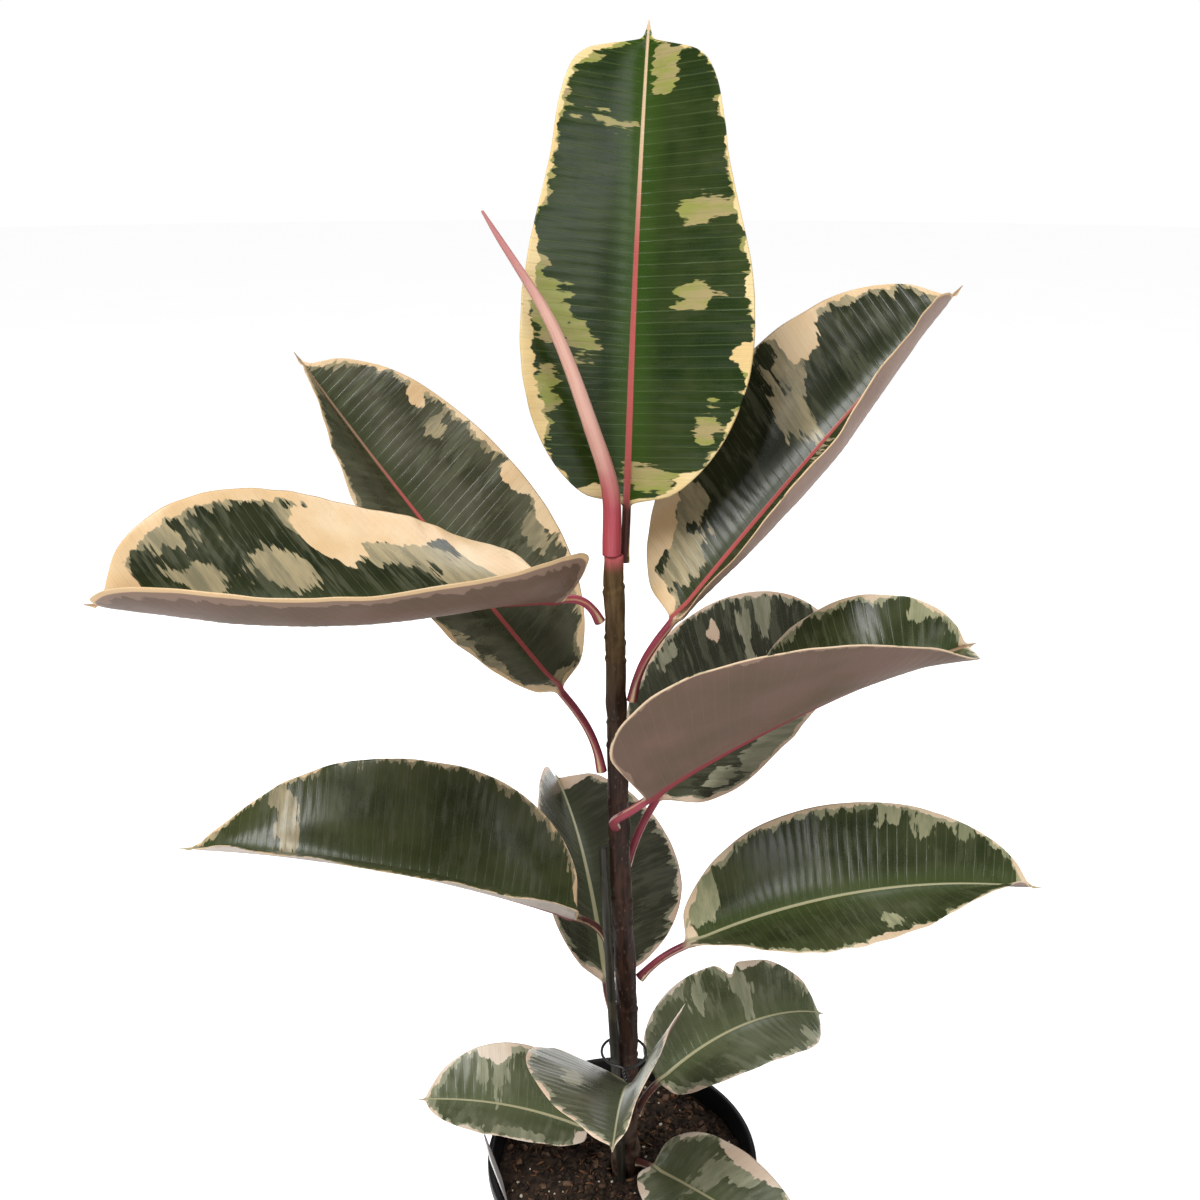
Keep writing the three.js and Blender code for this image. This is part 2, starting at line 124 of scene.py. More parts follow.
class Wire:
    """An output socket of a material's tree, which the signs + - * / and abs work on."""

    def __init__(self, tree, socket=None):
        self.tree = tree
        self.socket = socket

    def node(self, kind, settings=None, sockets=None, out=0):
        """Adds a node. Its settings are set first, then its sockets' values or links."""
        made = self.tree.nodes.new(kind)
        for name, value in (settings or {}).items():
            setattr(made, name, value)
        for name, value in (sockets or {}).items():
            if isinstance(value, Wire):
                self.tree.links.new(value.socket, made.inputs[name])
            else:
                made.inputs[name].default_value = value
        return Wire(self.tree, made.outputs[out])

    def sum(self, operation, *values):
        return self.node("ShaderNodeMath", {"operation": operation}, dict(enumerate(values)))

    def __add__(self, other):
        return self.sum("ADD", self, other)

    def __sub__(self, other):
        return self.sum("SUBTRACT", self, other)

    def __rsub__(self, other):
        return self.sum("SUBTRACT", other, self)

    def __mul__(self, other):
        return self.sum("MULTIPLY", self, other)

    def __truediv__(self, other):
        return self.sum("DIVIDE", self, other)

    def __abs__(self):
        return self.sum("ABSOLUTE", self)

    __radd__ = __add__
    __rmul__ = __mul__

    def between(self, low, high):
        """0 under low, 1 over high and a smooth step from one to the other."""
        settings = {"interpolation_type": "SMOOTHSTEP"}
        return self.node("ShaderNodeMapRange", settings, {0: self, 1: low, 2: high, 3: 0.0, 4: 1.0})

    def mix(self, first, second):
        """The colour first where this is 0 and second where it is 1."""
        return self.node("ShaderNodeMix", {"data_type": "RGBA"}, {0: self, 6: first, 7: second}, 2)

    def attribute(self, name):
        return self.node("ShaderNodeAttribute", {"attribute_name": name}, out=2)

    def place(self):
        return self.node("ShaderNodeTexCoord", out=3)

    def vector(self, x, y, z=0.0):
        return self.node("ShaderNodeCombineXYZ", sockets={0: x, 1: y, 2: z})

    def grain(self, where, scale=1.0, detail=2.0, rough=0.5, warp=0.0):
        """Noise from 0 to 1, about 0.5 on average."""
        values = {"Vector": where, "Scale": scale, "Detail": detail, "Roughness": rough, "Distortion": warp}
        return self.node("ShaderNodeTexNoise", sockets=values)

    def stretched(self, where, factors):
        settings = {"vector_type": "VECTOR"}
        return self.node("ShaderNodeMapping", settings, {"Vector": where, "Scale": factors})


def rgb(red, green, blue):
    return (red, green, blue, 1.0)


class Finish(Wire):
    """A new material: an empty tree, its shader and its output. constants go on the shader's sockets."""

    def __init__(self, name, **constants):
        self.material = bpy.data.materials.new(name)
        self.material.use_nodes = True
        super().__init__(self.material.node_tree)
        self.tree.nodes.clear()
        self.shader = self.tree.nodes.new("ShaderNodeBsdfPrincipled")
        output = self.tree.nodes.new("ShaderNodeOutputMaterial")
        self.tree.links.new(self.shader.outputs[0], output.inputs[0])
        for socket, value in constants.items():
            self.shader.inputs[socket.replace("_", " ")].default_value = value

    def set(self, colour, roughness, height=None, relief=0.3, depth=MM):
        """Wires what varies: the colour, the roughness and, with a height, a bump of that depth in metres."""
        self.tree.links.new(colour.socket, self.shader.inputs["Base Color"])
        self.tree.links.new(roughness.socket, self.shader.inputs["Roughness"])
        if height is not None:
            sockets = {"Strength": relief, "Distance": depth, "Height": height}
            bump = self.node("ShaderNodeBump", sockets=sockets)
            self.tree.links.new(bump.socket, self.shader.inputs["Normal"])
        return self.material


# %% [markdown]
# ## The floor
# One large pale sheet. It glows, so that no shadow on it goes grey. It isn't part of the plant, so it is
# not attached to the plant's body.

# %% Floor
FLOOR_RADIUS = 14


def object_of(name, form):
    """A new object at the origin with the bmesh's faces. The bmesh is used up."""
    mesh = bpy.data.meshes.new(name)
    form.to_mesh(mesh)
    form.free()
    made = bpy.data.objects.new(name, mesh)
    scene.collection.objects.link(made)
    return made


form = bmesh.new()
bmesh.ops.create_circle(form, cap_ends=True, segments=96, radius=FLOOR_RADIUS)
floor = object_of("floor", form)
paint = Finish("floor_white", Specular_IOR_Level=0.1, Emission_Color=rgb(1, 1, 1), Emission_Strength=0.62)
speck = paint.grain(paint.place(), 3.0)
off_white = speck.mix(rgb(0.86, 0.86, 0.86), rgb(0.9, 0.9, 0.9))
floor.data.materials.append(paint.set(off_white, speck * 0.1 + 0.7))

# %% [markdown]
# ## Reading the shape of a CAD tube
# The stem, the bud, the cane and every leaf are tubes in the frame: rings of points joined into a closed
# skin. A leaf is a tube pressed flat. Walking from one end cap to the other, ring by ring, gives the rings
# back, and fine smooth rings can be laid through them. So each fine piece sits exactly where its solid is.

# %% The rings of a CAD tube
WELD = 1e-6


def next_ring(current, seen):
    """The ring of points beyond the current one, in the same turning order, or none at the end."""
    after = {}
    for vert in current:
        for face in vert.link_faces:
            loop = list(face.verts)
            at = loop.index(vert)
            first, second = loop[(at + 1) % 3], loop[(at + 2) % 3]
            if first not in seen and second not in seen:
                after[first] = second
    ring = list(after)[:1]
    while len(ring) < len(after):
        ring.append(after[ring[-1]])
    if len(current) > 1 and ring:
        def travel(shift):
            return sum((v.co - ring[(j + shift) % len(ring)].co).length for j, v in enumerate(current))
        best = min(range(len(ring)), key=travel)
        ring = ring[best:] + ring[:best]
    return ring


def rings_of(node):
    """A CAD tube's points as [ring, place round it, xyz], from the end nearest the plant's axis."""
    form = bmesh.new()
    form.from_mesh(nodes[node].data)
    bmesh.ops.remove_doubles(form, verts=form.verts, dist=WELD)
    caps = sorted(form.verts, key=lambda v: len(v.link_edges))[-2:]
    foot = min(caps, key=lambda v: v.co.xy.length)
    current, seen, rings = [foot], {foot}, []
    while current:
        current = next_ring(current, seen)
        seen.update(current)
        if current:
            rings.append([v.co[:] for v in current])
    form.free()
    return np.array(rings)


print("stem rings", rings_of("stem").shape, "top leaf rings", rings_of("leaf_top").shape)

# %% [markdown]
# Two ways to pass a smooth line through known points. The first one bends freely and rounds things well.
# The second never swings past a point, which keeps a leaf from bulging where its stalk opens into the
# blade.

# %% Smooth lines through points


def flowing(points, places, closed=False):
    """Points at fractional places along axis 0, on a line that rounds its corners."""
    count = len(points)
    first = np.floor(places).astype(int)
    if not closed:
        first = np.clip(first, 0, count - 2)
        points = np.concatenate([[2 * points[0] - points[1]], points, [2 * points[-1] - points[-2]]])
    share = (places - first).reshape(-1, *[1] * (points.ndim - 1))
    a, b, c, d = (points[(first + k) % count if closed else first + 1 + k] for k in (-1, 0, 1, 2))
    return b + share / 2 * (c - a + share * (2 * a - 5 * b + 4 * c - d + share * (3 * (b - c) + d - a)))


def steady(points, places):
    """The same, on a line that never swings past a point."""
    step = np.diff(points, axis=0)
    inner = np.where(step[:-1] * step[1:] > 0, 2 * step[:-1] * step[1:] / (step[:-1] + step[1:] + 1e-12), 0)
    slope = np.concatenate([step[:1], inner, step[-1:]])
    first = np.clip(np.floor(places).astype(int), 0, len(points) - 2)
    f = (places - first).reshape(-1, *[1] * (points.ndim - 1))
    start, end = points[first], points[first + 1]
    rise = (f**3 - 2 * f**2 + f) * slope[first] + (f**3 - f**2) * slope[first + 1]
    return start + (end - start) * (3 * f**2 - 2 * f**3) + rise


def ease(x):
    x = np.clip(x, 0, 1)
    return x * x * (3 - 2 * x)


def bell(x, spread):
    return np.exp(-((x / spread) ** 2))


# %% [markdown]
# ## Laying a skin over rings
# A flat grid has the same rows and columns as a tube that is cut open. Its points are moved onto the
# rings, the cut edges are welded and the two ends are filled. Each point also keeps a few numbers, such as
# how far along the leaf it lies, that the finish reads.

# %% The skin


def piece_of(name, form, finish, replaces=()):
    """Turns a bmesh into a piece of the plant with smooth shading."""
    for face in form.faces:
        face.smooth = True
    piece = object_of(name, form)
    piece.data.materials.append(finish)
    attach(piece, "root")
    if replaces:
        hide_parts(*replaces)
    return piece


def skin(rings, facts=None):
    """A closed bmesh over rings [row, place round, xyz]. facts are arrays of one number a point."""
    rows, round_count = rings.shape[:2]
    form = bmesh.new()
    layers = {key: form.verts.layers.float.new(key) for key in facts or {}}
    bmesh.ops.create_grid(form, x_segments=round_count, y_segments=rows - 1, size=1)
    form.verts.ensure_lookup_table()
    weld = {}
    for row in range(rows):
        for column in range(round_count + 1):
            vert = form.verts[row * (round_count + 1) + column]
            place = column % round_count
            vert.co = rings[row, place]
            for key, layer in layers.items():
                vert[layer] = facts[key][row, place]
            if column == round_count:
                weld[vert] = form.verts[row * (round_count + 1)]
    bmesh.ops.weld_verts(form, targetmap=weld)
    rims = [edge for edge in form.edges if edge.is_boundary]
    bmesh.ops.holes_fill(form, edges=rims, sides=0)
    bmesh.ops.recalc_face_normals(form, faces=form.faces)
    return form


def outward(rings):
    """Unit normals of a skin's points, pointing out."""
    along = np.gradient(rings, axis=0)
    about = np.roll(rings, -1, 1) - np.roll(rings, 1, 1)
    normal = np.cross(along, about)
    normal /= np.linalg.norm(normal, axis=2, keepdims=True) + 1e-15
    middle = rings.mean(1, keepdims=True)
    inside_out = ((rings - middle) * normal).sum() < 0
    return -normal if inside_out else normal


# %% [markdown]
# ## Leaves
# A rubber plant's leaf is a thick, leathery oval. Its midrib is sunk on top and stands out below, and fine
# side veins run almost straight from it to the margin, a few millimetres apart, so that the surface is
# very slightly quilted. The variegation follows those veins: dark green in the middle, grey-green patches
# over it and a ragged cream border whose teeth lie along the veins.
#
# The shape comes from the CAD leaf's rings, taken finer in both directions. The rib, the quilting and the
# gentle waves of the blade are then moved in along the surface's normals.

# %% Across a leaf
HALF = [0, 0.02, 0.045, 0.08, 0.13, 0.19, 0.26, 0.34, 0.42, 0.5,
        0.58, 0.66, 0.74, 0.81, 0.87, 0.92, 0.96, 0.985, 1]
quarter = np.arcsin(HALF)
ROUND = np.concatenate([
    quarter[:-1], np.pi - quarter[:0:-1], np.pi + quarter[:-1], 2 * np.pi - quarter[:0:-1]])
QUARTER = len(HALF) - 1
MIRRORED = (2 * QUARTER - np.arange(len(ROUND))) % len(ROUND)
PETIOLE_RINGS = 4
ROW_STEP = 1.1 * MM
DENSE_STEPS = 40
FLARE_SHARE = 0.45
TIP_LENGTH = 13.0
TIP_FLARE = 5.5
TIP_END = 0.3
TIP_CURVE = 1.7
VEIN_GAP = 5.6
MINOR_GAP = 1.9
print(len(ROUND), "points round each leaf section")


def smooth_leaf(node):
    """A CAD leaf's rings taken finer: (rings, fractional CAD ring of each row)."""
    rings = rings_of(node)
    count = rings.shape[1]
    half = count // 2
    blade = rings[PETIOLE_RINGS + 3: -3]
    across = blade - np.roll(blade, -half, 1)
    top = int(np.argmin(np.linalg.norm(across, axis=2).sum(0)))
    if across[:, top, 2].sum() < 0:
        top = (top + half) % count
    rings = np.roll(rings, -top, 1)
    for ring in rings[PETIOLE_RINGS + 1:]:
        thick = np.linalg.norm(ring[1] - ring[half - 1]) / 2 + np.linalg.norm(ring[-1] - ring[half + 1]) / 2
        down = ring[half] - ring[0]
        ring[half] = ring[0] + down / np.linalg.norm(down) * thick
    dense = np.linspace(0, len(rings) - 1, DENSE_STEPS * (len(rings) - 1) + 1)
    centre = (rings[:, :1] + rings[:, half:half + 1]) / 2
    spine = flowing(centre, dense)
    flare = steady(rings[:, [count // 4, 3 * count // 4]], dense)
    step = np.linalg.norm(np.diff(spine[:, 0], axis=0), axis=1)
    wing = np.linalg.norm(np.diff(flare, axis=0), axis=2).max(1)
    length = np.concatenate([[0], np.cumsum(np.maximum(step, wing * FLARE_SHARE))])
    rows = int(length[-1] / ROW_STEP)
    places = np.interp(np.linspace(0, length[-1], rows), length, dense)
    fine = flowing(centre, places) + steady(rings - centre, places)
    fine = np.swapaxes(flowing(np.swapaxes(fine, 0, 1), ROUND / (2 * np.pi) * count, closed=True), 0, 1)
    return fine, places


def reshaped(rings, places, waists):
    """Gives a leaf its pointed drip tip, and widens or narrows it a little at places along it.

    A waist is (share along, spread, amount, side), where side is 1 for left, -1 for right and 0 for both.
    """
    spine = (rings[:, 0] + rings[:, 2 * QUARTER]) / 2
    from_tip = np.linalg.norm(spine - spine[-1], axis=1) / MM
    share = np.clip((places - PETIOLE_RINGS) / (places[-1] - PETIOLE_RINGS), 0, 1)
    middle = (rings + rings[:, MIRRORED]) / 2
    reach = middle - spine[:, None]
    half = np.linalg.norm(reach[:, QUARTER], axis=1) / MM
    point = TIP_END + TIP_FLARE * (from_tip / TIP_LENGTH) ** TIP_CURVE
    grow = np.where(from_tip < TIP_LENGTH, np.maximum(1, point / np.maximum(half, 0.1)), 1.0)
    scale = np.repeat(grow[:, None], len(ROUND), 1)
    left = np.arange(len(ROUND)) < 2 * QUARTER
    for t, spread, amount, side in waists:
        scale += amount * bell(share - t, spread)[:, None] * np.where(left, side >= 0, side <= 0)
    return rings + reach * (scale[..., None] - 1)


def measure(rings, places):
    """Distances over a leaf in mm: along the midrib from the blade's base, and across, left positive."""
    spine = (rings[:, 0] + rings[:, 2 * QUARTER]) / 2
    walked = np.concatenate([[0], np.cumsum(np.linalg.norm(np.diff(spine, axis=0), axis=1))])
    walked -= np.interp(PETIOLE_RINGS, places, walked)
    across = np.zeros(rings.shape[:2])
    for side in (1, -1):
        top = np.arange(QUARTER + 1) * side % len(ROUND)
        bottom = (2 * QUARTER - np.arange(QUARTER + 1) * side) % len(ROUND)
        gaps = np.linalg.norm(np.diff(rings[:, top], axis=1), axis=2)
        reach = np.concatenate([np.zeros((len(rings), 1)), np.cumsum(gaps, axis=1)], axis=1) * side
        across[:, top] = reach
        across[:, bottom] = reach
    along = np.repeat(walked[:, None], len(ROUND), 1)
    return along / MM, across / MM


rings, places = smooth_leaf("leaf_top")
along, across = measure(rings, places)
print("top leaf", rings.shape, "blade", round(along.max()), "x", round(across.max() - across.min()), "mm")

# %% [markdown]
# The relief is small but it is real geometry: a groove along the midrib on top, the rib below it, a
# shallow swelling between side veins and slow waves toward the margin. Each leaf draws its own waves from
# its own seed, so the result is the same on every run.

# %% Relief of a leaf


def waves(x, y, seed):
    """Smooth noise over two arrays, from about -1 to 1."""
    values = [noise.noise((a, b, seed * 7.31)) for a, b in zip(x.ravel(), y.ravel())]
    return 2 * np.array(values).reshape(x.shape)


def relieved(rings, along, across, seed, lean):
    """The rings with rib, groove, quilting and waves added."""
    length = along.max()
    t = np.clip(along / length, 0, 1)
    reach = np.abs(across)
    share = reach / (np.abs(across).max(1, keepdims=True) + 0.01)
    upper = np.zeros(rings.shape[:2])
    upper[:, :QUARTER] = 1
    upper[:, 3 * QUARTER + 1:] = 1
    lower = 1 - upper
    lower[:, [QUARTER, 3 * QUARTER]] = 0
    on_blade = ease(along / 12) * ease((length - along) / 14)
    turns = 2 * np.pi * (along - lean * reach + 2.5 * waves(along / 30, across / 30, seed)) / VEIN_GAP
    quilt = (0.09 * upper - 0.07 * lower) * np.cos(turns) * ease(share / 0.15) * ease((1 - share) / 0.12)
    groove = -0.55 * bell(reach, 1.7 - 0.7 * t) * upper
    rib = 1.9 * (1 - t) ** 0.8 * bell(reach, 2.3 - 1.1 * t) * lower * ease(along / 6)
    out = (quilt + groove) * on_blade + rib
    slow = 1.1 * waves(along / 34, across / 60, seed + 3) + 0.5 * waves(along / 13, across / 40, seed + 5)
    swing = slow * share**2 * ease(along / 25) * ease((length - along) / 25)
    normals = outward(rings)
    up = normals * upper[..., None] - normals * lower[..., None]
    edge = [QUARTER, 3 * QUARTER]
    up[:, edge] = normals[:, [QUARTER - 1, 3 * QUARTER + 1]]
    paired = up + up[:, MIRRORED]
    paired /= np.linalg.norm(paired, axis=2, keepdims=True) + 1e-12
    return rings + (normals * out[..., None] + paired * swing[..., None]) * MM


# %% [markdown]
# Where a leaf is cream, and where it is grey-green, is set by two height maps over the flat leaf, in
# millimetres. Each is positive inside a patch. The border follows the leaf's own outline, and further
# patches are given as ovals that lie along the veins. The finish later tears their edges into teeth.

# %% Patches
FAR = 60.0


def ovals(along, across, marks, length, width, slope):
    """The height over oval patches (share along, share across, half length, half width in mm)."""
    best = np.full(along.shape, -FAR)
    reach = np.abs(across)
    for t, v, long, wide in marks:
        across0 = v * width / 2
        lean = slope * (reach - abs(across0))
        far = np.hypot((along - t * length - lean) / long, (across - across0) / wide)
        best = np.maximum(best, (1 - far) * min(long, wide))
    return best


def margin_of(along, across):
    """Distance in mm from each point to the leaf's outline."""
    edge_a = along[:, QUARTER]
    result = np.full(along.shape, FAR)
    for column in (QUARTER, 3 * QUARTER):
        edge_c = across[:, column]
        for k in range(len(edge_a)):
            gap = np.hypot(along - edge_a[k], across - edge_c[k])
            same = np.sign(across) * np.sign(edge_c[k]) >= 0
            result = np.where(same, np.minimum(result, gap), result)
    return result


def leaf_piece(name, look):
    """One leaf: its smooth rings, its relief, its patches and its finish."""
    lean = look["lean"]
    rings, places = smooth_leaf(name)
    rings = reshaped(rings, places, look["waists"])
    along, across = measure(rings, places)
    rings = relieved(rings, along, across, look["seed"], lean)
    length, width = along.max(), across.max() - across.min()
    margin = margin_of(along, across)
    inside = look["border"] - margin
    cream = np.maximum(inside, ovals(along, across, look["cream"], length, width, lean))
    grey = np.maximum(inside + look["band"], ovals(along, across, look["grey"], length, width, lean))
    upper = np.zeros(along.shape)
    upper[:, :QUARTER + 1] = 1
    upper[:, 3 * QUARTER:] = 1
    facts = {"along": along, "across": across, "cream": cream, "grey": grey, "upper": upper, "margin": margin}
    finish = leaf_finish(name, look, length)
    piece = piece_of(name.replace("leaf", "blade"), skin(rings, facts), finish, [name])
    print(name, len(piece.data.polygons), "faces,", round(length), "x", round(width), "mm")


# %% [markdown]
# ## The leaf's finish
# All patterns are laid along the veins. `vein` is the distance along the leaf less a share of the distance
# from the midrib, so a line of equal `vein` runs out from the midrib and a little forward. Noise that is
# fine along `vein` and coarse across it gives the comb-like teeth.

# %% Leaf finish
UNDER_VEIN = rgb(0.16, 0.105, 0.078)
UNDER_CREAM = rgb(0.22, 0.145, 0.105)
UNDER_RIB = rgb(0.16, 0.02, 0.025)


def leaf_finish(name, look, length):
    """A leaf's material: the upper side's pattern, the under side, the rib and the stalk."""
    finish = Finish("finish_" + name, Specular_IOR_Level=0.24)
    along = finish.attribute("along")
    across = finish.attribute("across")
    reach = abs(across)
    vein = along - reach * look["lean"]
    seed = look["seed"] * 3.7
    comb = finish.grain(finish.vector(vein * 0.2, across * 0.06, seed), 1.0, 3.0, 0.55) - 0.5
    broad = finish.grain(finish.vector(vein * 0.07, across * 0.06, seed + 9), 1.0, 2.0) - 0.5
    streak = finish.grain(finish.vector(vein * 0.3, across * 0.045, seed + 4), 1.0, 3.0, 0.6) - 0.5
    mottle = finish.grain(finish.vector(vein * 0.16, across * 0.035, seed + 23), 1.0, 3.0, 0.65)
    soft = finish.grain(finish.vector(along * 0.03, across * 0.04, seed + 2), 1.0, 3.0)
    cream = (finish.attribute("cream") + (comb * 9 + broad * 8)).between(-0.35, 0.35)
    grey = (finish.attribute("grey") + (streak * 17 + comb * 8 + broad * 16)).between(-0.5, 0.5)
    lines = finish.sum("FRACT", vein / VEIN_GAP + streak * 0.16)
    line = 1 - abs(lines - 0.5).between(0.01, 0.065)
    minor = 1 - abs(finish.sum("FRACT", vein / MINOR_GAP + comb * 0.3) - 0.5).between(0.0, 0.2)
    vein_mask = (line * 0.3 + minor * 0.06) * reach.between(1.0, 3.0)
    green = soft.between(0.3, 0.7).mix(look["green"], look["green2"])
    # Mottle toward the paler middle colour. It is the leaf's own mottling, and on the upper left leaf, where
    # it is set strong, partly a painted sheen.
    green = (mottle.between(0.5, 0.62) * look["mottle"]).mix(green, look["middle"])
    near_rib = 1 - reach.between(2.0, 17.0)
    green = (near_rib * 0.55).mix(green, look["inner"])
    green = vein_mask.mix(green, look["vein"])
    patch = mottle.between(0.35, 0.65).mix(look["patch"], look["patch2"])
    patch = (vein_mask * 0.4).mix(patch, look["middle"])
    light = soft.between(0.35, 0.65).mix(look["light"], look["light2"])
    light = (minor * 0.12 + line * 0.14).mix(light, look["patch"])
    top = cream.mix(grey.mix(green, patch), light)
    share = along / length
    rib_half = (1.0 - share * 0.7) * look["rib_half"]
    rib = 1 - (reach - rib_half).between(-0.2, 0.3)
    rib_tone = share.between(0.52, 0.8).mix(look["rib"], look["rib2"])
    rib_edge = 1 - (reach - rib_half).between(0.0, 1.2)
    top = (rib_edge * 0.4).mix(top, look["inner"])
    top = rib.mix(top, rib_tone)
    below = soft.between(0.3, 0.7).mix(look["under"], look["under2"])
    below = (vein_mask * 0.5).mix(below, UNDER_VEIN)
    below = (cream * 0.7).mix(below, UNDER_CREAM)
    rim = 1 - (finish.attribute("margin") - look["rim"]).between(-0.4, 0.4)
    below = (rim * 0.8).mix(below, look["light"])
    rib_below = 1 - (reach - rib_half * 1.5).between(-0.4, 0.8)
    below = rib_below.mix(below, UNDER_RIB)
    side = finish.attribute("upper").between(0.35, 0.65)
    colour = side.mix(below, top)
    stalk = (1 - along.between(-3.0, 5.0)) * (1 - reach.between(2.5, 4.5))
    stalk_colour = soft.between(0.3, 0.7).mix(look["stalk"], look["stalk2"])
    colour = stalk.mix(colour, stalk_colour)
    fine = finish.grain(finish.place(), 900.0, 2.0)
    rough = 0.2 + soft * 0.12 + fine * 0.05 + (1 - side) * 0.28 + cream * 0.06
    height = fine * 0.05 - line * 0.4 - minor * 0.08 + soft * 0.3
    return finish.set(colour, rough, height, relief=0.4, depth=0.3 * MM)


# %% [markdown]
# Young leaves at the top are vivid, older ones more olive, and those low down pale and dusty. `USUAL` holds
# what most leaves share. Each leaf's own entry then gives its seed, the lean of its veins, the width in mm of
# its cream border and of the grey-green band inside that, and its patches. Left of the midrib is positive.

# %% Leaf colours
USUAL = dict(
    band=2, mottle=0.6, waists=(), rim=1.1, rib_half=1.7, rib=rgb(0.36, 0.34, 0.2), rib2=rgb(0.36, 0.34, 0.2),
    stalk=rgb(0.12, 0.035, 0.03), stalk2=rgb(0.06, 0.022, 0.016), under=rgb(0.115, 0.066, 0.048),
    under2=rgb(0.085, 0.054, 0.034))
VIVID = dict(
    green=rgb(0.009, 0.021, 0.003), green2=rgb(0.022, 0.036, 0.006), middle=rgb(0.04, 0.052, 0.016),
    inner=rgb(0.03, 0.07, 0.005), vein=rgb(0.08, 0.12, 0.03), patch=rgb(0.22, 0.23, 0.055),
    patch2=rgb(0.3, 0.24, 0.11), light=rgb(0.6, 0.43, 0.19), light2=rgb(0.64, 0.5, 0.26))
OLIVE = dict(
    green=rgb(0.011, 0.015, 0.005), green2=rgb(0.024, 0.028, 0.01), middle=rgb(0.085, 0.088, 0.052),
    inner=rgb(0.04, 0.052, 0.018), vein=rgb(0.1, 0.11, 0.055), patch=rgb(0.34, 0.28, 0.16),
    patch2=rgb(0.2, 0.175, 0.105), light=rgb(0.6, 0.41, 0.22), light2=rgb(0.66, 0.5, 0.31))
FRESH = dict(
    green=rgb(0.022, 0.03, 0.009), green2=rgb(0.045, 0.055, 0.018), middle=rgb(0.075, 0.086, 0.04),
    inner=rgb(0.06, 0.085, 0.025), vein=rgb(0.14, 0.16, 0.08), patch=rgb(0.33, 0.32, 0.19),
    patch2=rgb(0.21, 0.22, 0.12), light=rgb(0.62, 0.46, 0.3), light2=rgb(0.68, 0.54, 0.38))
SHADED = dict(
    green=rgb(0.032, 0.033, 0.019), green2=rgb(0.05, 0.052, 0.032), middle=rgb(0.085, 0.085, 0.055),
    inner=rgb(0.06, 0.076, 0.034), vein=rgb(0.12, 0.13, 0.075), patch=rgb(0.3, 0.29, 0.2),
    patch2=rgb(0.2, 0.2, 0.13), light=rgb(0.62, 0.44, 0.31), light2=rgb(0.68, 0.53, 0.4))
DUSTY = dict(
    SHADED, green=rgb(0.062, 0.066, 0.038), green2=rgb(0.095, 0.098, 0.058), middle=rgb(0.14, 0.142, 0.09))
SOFT = dict(
    FRESH, green=rgb(0.055, 0.066, 0.03), green2=rgb(0.1, 0.112, 0.058), middle=rgb(0.14, 0.15, 0.09),
    inner=rgb(0.09, 0.11, 0.05), patch=rgb(0.3, 0.3, 0.2), patch2=rgb(0.2, 0.21, 0.13),
    light=rgb(0.62, 0.48, 0.36), light2=rgb(0.7, 0.6, 0.48))
RED_RIB = dict(rib=rgb(0.36, 0.075, 0.07), rib2=rgb(0.3, 0.19, 0.12))
RED_STALK = dict(stalk=rgb(0.27, 0.045, 0.065), stalk2=rgb(0.14, 0.024, 0.034))

